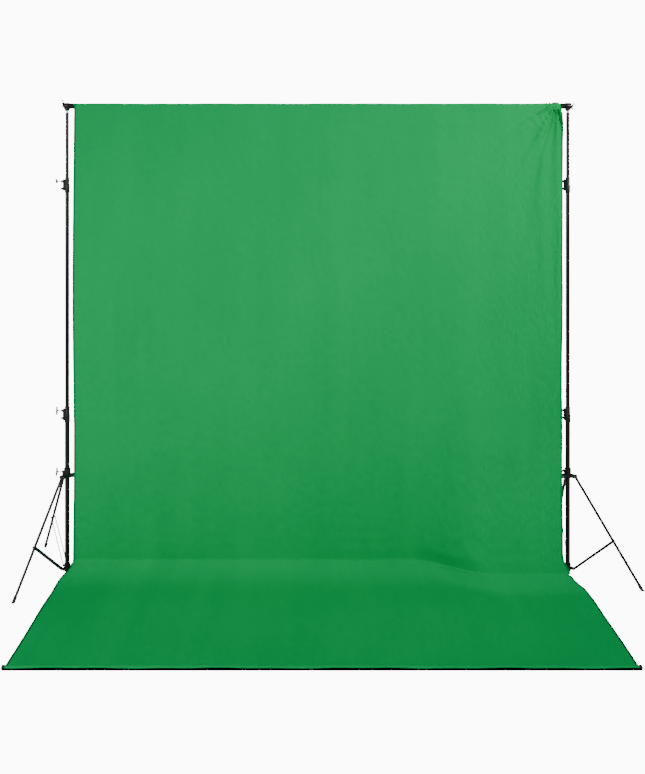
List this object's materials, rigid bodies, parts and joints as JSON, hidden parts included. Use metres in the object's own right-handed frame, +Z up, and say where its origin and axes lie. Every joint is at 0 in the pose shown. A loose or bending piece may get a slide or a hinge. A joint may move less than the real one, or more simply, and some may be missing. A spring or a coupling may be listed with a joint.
{
  "type": "background support system",
  "caption": "Photo background support: folding light stands carrying a sectional crossbar, with a green cloth hung from it and swept forward over the floor.",
  "frame": {"origin": "on the floor, at the middle of the whole footprint (the bounding box bottom centre)", "axes": "+Z up; +X along the crossbar from the left stand to the right stand; the cloth comes forward over the floor towards -Y"},
  "size_m": [3.621, 1.4934, 2.828],
  "materials": {
    "black_tube": "semi-gloss black coat on drawn tube",
    "black_steel": "black coated flat steel",
    "black_casting": "black coated casting",
    "black_plastic": "moulded, fine grain",
    "bright_steel": "plated",
    "foot_rubber": "matt",
    "green_muslin": "plain weave cotton, matt"
  },
  "bodies": {
    "base": {"cloth_corner_left": "green_muslin", "cloth_corner_right": "green_muslin", "cloth_floor": "green_muslin", "cloth_front_hem": "green_muslin", "left_base_tube": "black_tube", "left_bottom_hub": "black_plastic", "left_bottom_rivets": "bright_steel", "left_lower_clamp": "black_plastic", "right_base_tube": "black_tube", "right_bottom_hub": "black_plastic", "right_bottom_rivets": "bright_steel", "right_lower_clamp": "black_plastic"},
    "left_lower_riser": {"left_middle_tube": "black_tube", "left_upper_clamp": "black_plastic", "cloth_lower": "green_muslin"},
    "left_upper_riser": {"left_top_tube": "black_tube", "left_top_spigot": "bright_steel", "crossbar_1": "black_tube", "crossbar_2": "black_tube", "crossbar_3": "black_tube", "crossbar_4": "black_tube", "left_bar_socket": "black_casting", "right_bar_socket": "black_casting", "cloth_pocket": "green_muslin", "cloth_upper": "green_muslin"},
    "left_hub": {"left_leg_hub": "black_plastic", "left_hub_rivets": "bright_steel"},
    "left_leg_1": {"left_leg_1": "black_tube", "left_foot_1": "foot_rubber"},
    "left_strut_1": {"left_strut_1": "black_steel"},
    "left_leg_2": {"left_leg_2": "black_tube", "left_foot_2": "foot_rubber"},
    "left_strut_2": {"left_strut_2": "black_steel"},
    "left_leg_3": {"left_leg_3": "black_tube", "left_foot_3": "foot_rubber"},
    "left_strut_3": {"left_strut_3": "black_steel"},
    "left_lower_knob": {"left_lower_knob": "black_plastic"},
    "left_upper_knob": {"left_upper_knob": "black_plastic"},
    "left_hub_knob": {"left_hub_knob": "black_plastic"},
    "left_wing_screw": {"left_wing_screw": "black_plastic"},
    "right_lower_riser": {"right_middle_tube": "black_tube", "right_upper_clamp": "black_plastic"},
    "right_upper_riser": {"right_top_tube": "black_tube", "right_top_spigot": "bright_steel"},
    "right_hub": {"right_leg_hub": "black_plastic", "right_hub_rivets": "bright_steel"},
    "right_leg_1": {"right_leg_1": "black_tube", "right_foot_1": "foot_rubber"},
    "right_strut_1": {"right_strut_1": "black_steel"},
    "right_leg_2": {"right_leg_2": "black_tube", "right_foot_2": "foot_rubber"},
    "right_strut_2": {"right_strut_2": "black_steel"},
    "right_leg_3": {"right_leg_3": "black_tube", "right_foot_3": "foot_rubber"},
    "right_strut_3": {"right_strut_3": "black_steel"},
    "right_lower_knob": {"right_lower_knob": "black_plastic"},
    "right_upper_knob": {"right_upper_knob": "black_plastic"},
    "right_hub_knob": {"right_hub_knob": "black_plastic"},
    "right_wing_screw": {"right_wing_screw": "black_plastic"}
  },
  "joints": [
    {"name": "left_lower_riser_slide", "type": "slide", "parent": "base", "child": "left_lower_riser", "axis": [0, 0, 1], "range_m": [-0.79, 0], "deforming": ["cloth_lower"]},
    {"name": "left_upper_riser_slide", "type": "slide", "parent": "left_lower_riser", "child": "left_upper_riser", "axis": [0, 0, 1], "range_m": [-0.38, 0], "deforming": ["cloth_upper"]},
    {"name": "left_hub_slide", "type": "slide", "parent": "base", "child": "left_hub", "axis": [0, 0, 1], "range_m": [0, 0.16531]},
    {"name": "left_leg_1_hinge", "type": "hinge", "parent": "left_hub", "child": "left_leg_1", "pos_m": [-1.50831, 0.31024, 0.578], "axis": [-0.0872, 0.9962, 0], "range_deg": [0, 33.67]},
    {"name": "left_strut_1_hinge", "type": "hinge", "parent": "base", "child": "left_strut_1", "pos_m": [-1.51529, 0.30963, 0.027], "axis": [-0.0872, 0.9962, 0], "range_deg": [-45.17, 0]},
    {"name": "left_leg_2_hinge", "type": "hinge", "parent": "left_hub", "child": "left_leg_2", "pos_m": [-1.57895, 0.34318, 0.578], "axis": [-0.8192, -0.5736, 0], "range_deg": [0, 33.67]},
    {"name": "left_strut_2_hinge", "type": "hinge", "parent": "base", "child": "left_strut_2", "pos_m": [-1.57494, 0.33744, 0.027], "axis": [-0.8192, -0.5736, 0], "range_deg": [-45.17, 0]},
    {"name": "left_leg_3_hinge", "type": "hinge", "parent": "left_hub", "child": "left_leg_3", "pos_m": [-1.57216, 0.26553, 0.578], "axis": [0.9063, -0.4226, 0], "range_deg": [0, 33.67]},
    {"name": "left_strut_3_hinge", "type": "hinge", "parent": "base", "child": "left_strut_3", "pos_m": [-1.5692, 0.27188, 0.027], "axis": [0.9063, -0.4226, 0], "range_deg": [-45.17, 0]},
    {"name": "left_lower_knob_turn", "type": "hinge", "parent": "base", "child": "left_lower_knob", "pos_m": [-1.61399, 0.30206, 0.965], "axis": [-0.9976, -0.0698, 0], "range_deg": [0, 270]},
    {"name": "left_upper_knob_turn", "type": "hinge", "parent": "left_lower_riser", "child": "left_upper_knob", "pos_m": [-1.6097, 0.28347, 2.339], "axis": [-0.9272, -0.3746, 0], "range_deg": [0, 270]},
    {"name": "left_hub_knob_turn", "type": "hinge", "parent": "left_hub", "child": "left_hub_knob", "pos_m": [-1.61391, 0.301, 0.6], "axis": [-0.9962, -0.0872, 0], "range_deg": [0, 270]},
    {"name": "left_wing_screw_turn", "type": "hinge", "parent": "left_upper_riser", "child": "left_wing_screw", "pos_m": [-1.56164, 0.29159, 2.802], "axis": [-0.5, -0.866, 0], "range_deg": [0, 270]},
    {"name": "right_lower_riser_slide", "type": "slide", "parent": "base", "child": "right_lower_riser", "axis": [0, 0, 1], "range_m": [-0.79, 0]},
    {"name": "right_upper_riser_slide", "type": "slide", "parent": "right_lower_riser", "child": "right_upper_riser", "axis": [0, 0, 1], "range_m": [-0.38, 0]},
    {"name": "right_hub_slide", "type": "slide", "parent": "base", "child": "right_hub", "axis": [0, 0, 1], "range_m": [0, 0.16531]},
    {"name": "right_leg_1_hinge", "type": "hinge", "parent": "right_hub", "child": "right_leg_1", "pos_m": [1.45078, 0.35115, 0.578], "axis": [-0.9962, 0.0872, 0], "range_deg": [0, 33.67]},
    {"name": "right_strut_1_hinge", "type": "hinge", "parent": "base", "child": "right_strut_1", "pos_m": [1.45017, 0.34417, 0.027], "axis": [-0.9962, 0.0872, 0], "range_deg": [-45.17, 0]},
    {"name": "right_leg_2_hinge", "type": "hinge", "parent": "right_hub", "child": "right_leg_2", "pos_m": [1.40607, 0.2873, 0.578], "axis": [0.4226, -0.9063, 0], "range_deg": [0, 33.67]},
    {"name": "right_strut_2_hinge", "type": "hinge", "parent": "base", "child": "right_strut_2", "pos_m": [1.41242, 0.29026, 0.027], "axis": [0.4226, -0.9063, 0], "range_deg": [-45.17, 0]},
    {"name": "right_leg_3_hinge", "type": "hinge", "parent": "right_hub", "child": "right_leg_3", "pos_m": [1.48372, 0.28051, 0.578], "axis": [0.5736, 0.8192, 0], "range_deg": [0, 33.67]},
    {"name": "right_strut_3_hinge", "type": "hinge", "parent": "base", "child": "right_strut_3", "pos_m": [1.47799, 0.28452, 0.027], "axis": [0.5736, 0.8192, 0], "range_deg": [-45.17, 0]},
    {"name": "right_lower_knob_turn", "type": "hinge", "parent": "base", "child": "right_lower_knob", "pos_m": [1.38794, 0.3221, 0.965], "axis": [-0.9659, 0.2588, 0], "range_deg": [0, 270]},
    {"name": "right_upper_knob_turn", "type": "hinge", "parent": "right_lower_riser", "child": "right_upper_knob", "pos_m": [1.38794, 0.3221, 2.339], "axis": [-0.9659, 0.2588, 0], "range_deg": [0, 270]},
    {"name": "right_hub_knob_turn", "type": "hinge", "parent": "right_hub", "child": "right_hub_knob", "pos_m": [1.39689, 0.34131, 0.6], "axis": [-0.8192, 0.5736, 0], "range_deg": [0, 270]},
    {"name": "right_wing_screw_turn", "type": "hinge", "parent": "left_upper_riser", "child": "right_wing_screw", "pos_m": [1.46386, 0.30632, 2.788], "axis": [1, 0, 0], "range_deg": [0, 270]}
  ],
  "couplings": [
    {"joint": "left_leg_1_hinge", "follows": "left_hub_slide", "rad_per_m": 3.5546},
    {"joint": "left_strut_1_hinge", "follows": "left_hub_slide", "rad_per_m": -4.7689},
    {"joint": "left_leg_2_hinge", "follows": "left_hub_slide", "rad_per_m": 3.5546},
    {"joint": "left_strut_2_hinge", "follows": "left_hub_slide", "rad_per_m": -4.7689},
    {"joint": "left_leg_3_hinge", "follows": "left_hub_slide", "rad_per_m": 3.5546},
    {"joint": "left_strut_3_hinge", "follows": "left_hub_slide", "rad_per_m": -4.7689},
    {"joint": "right_lower_riser_slide", "follows": "left_lower_riser_slide", "ratio": 1},
    {"joint": "right_upper_riser_slide", "follows": "left_upper_riser_slide", "ratio": 1},
    {"joint": "right_leg_1_hinge", "follows": "right_hub_slide", "rad_per_m": 3.5546},
    {"joint": "right_strut_1_hinge", "follows": "right_hub_slide", "rad_per_m": -4.7689},
    {"joint": "right_leg_2_hinge", "follows": "right_hub_slide", "rad_per_m": 3.5546},
    {"joint": "right_strut_2_hinge", "follows": "right_hub_slide", "rad_per_m": -4.7689},
    {"joint": "right_leg_3_hinge", "follows": "right_hub_slide", "rad_per_m": 3.5546},
    {"joint": "right_strut_3_hinge", "follows": "right_hub_slide", "rad_per_m": -4.7689}
  ]
}
